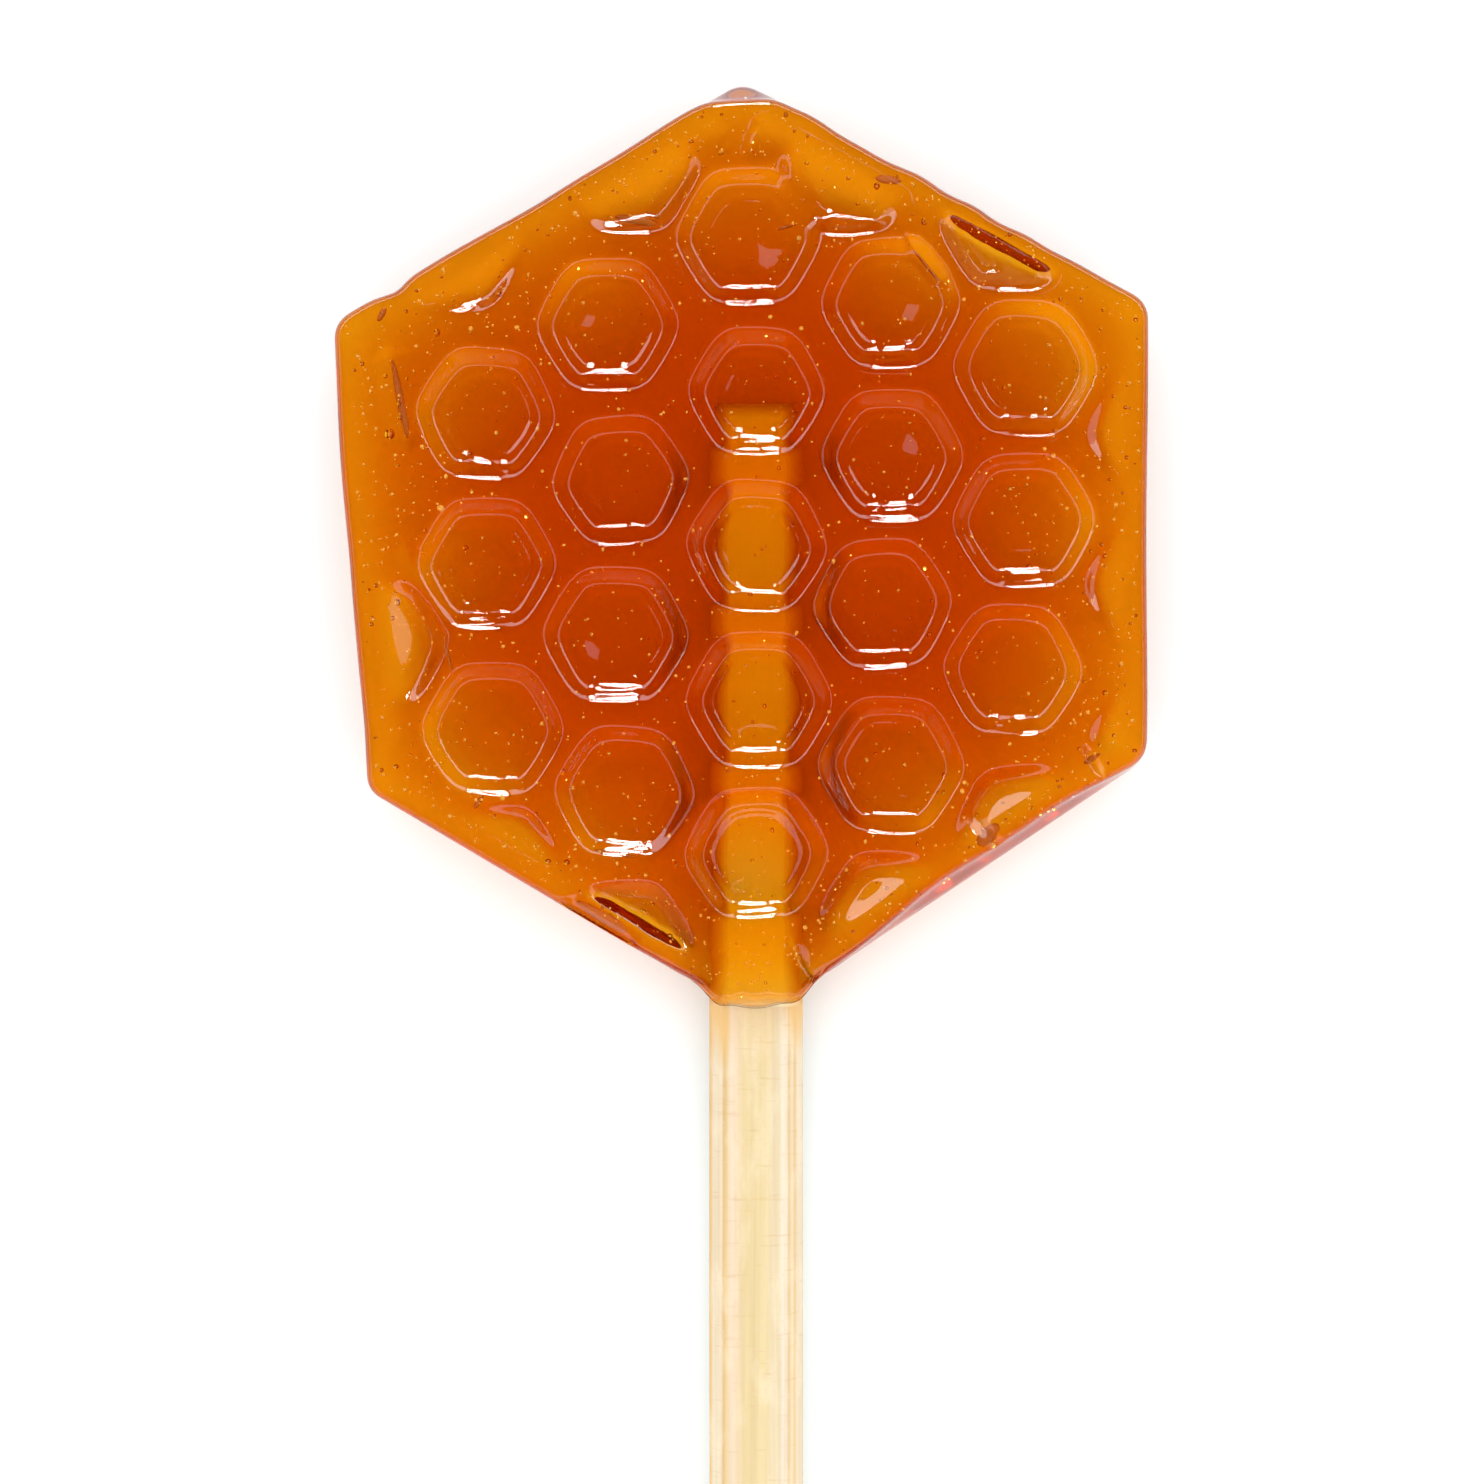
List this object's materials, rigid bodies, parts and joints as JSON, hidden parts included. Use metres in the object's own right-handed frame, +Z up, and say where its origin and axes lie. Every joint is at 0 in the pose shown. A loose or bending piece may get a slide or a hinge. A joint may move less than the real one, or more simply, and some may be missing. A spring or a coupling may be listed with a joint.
{
  "type": "honey lollipop",
  "caption": "Amber honey lollipop: a moulded hexagonal hard-candy head with honeycomb relief on a flat pale wooden stick, lying on its back.",
  "frame": {"origin": "on the flat back of the candy head, under the middle of its hexagonal outline", "axes": "+Z up out of the relief side, +Y from the stick towards the far corner of the head, +X to the right seen from above; the stick runs towards -Y"},
  "size_m": [0.0447, 0.1275, 0.0075],
  "materials": {
    "candy": "clear amber boiled honey sugar, glossy as it left the mould",
    "wood": "pale planed wood, unvarnished"
  },
  "bodies": {
    "root": {"candy": "candy", "stick": "wood"}
  },
  "joints": []
}
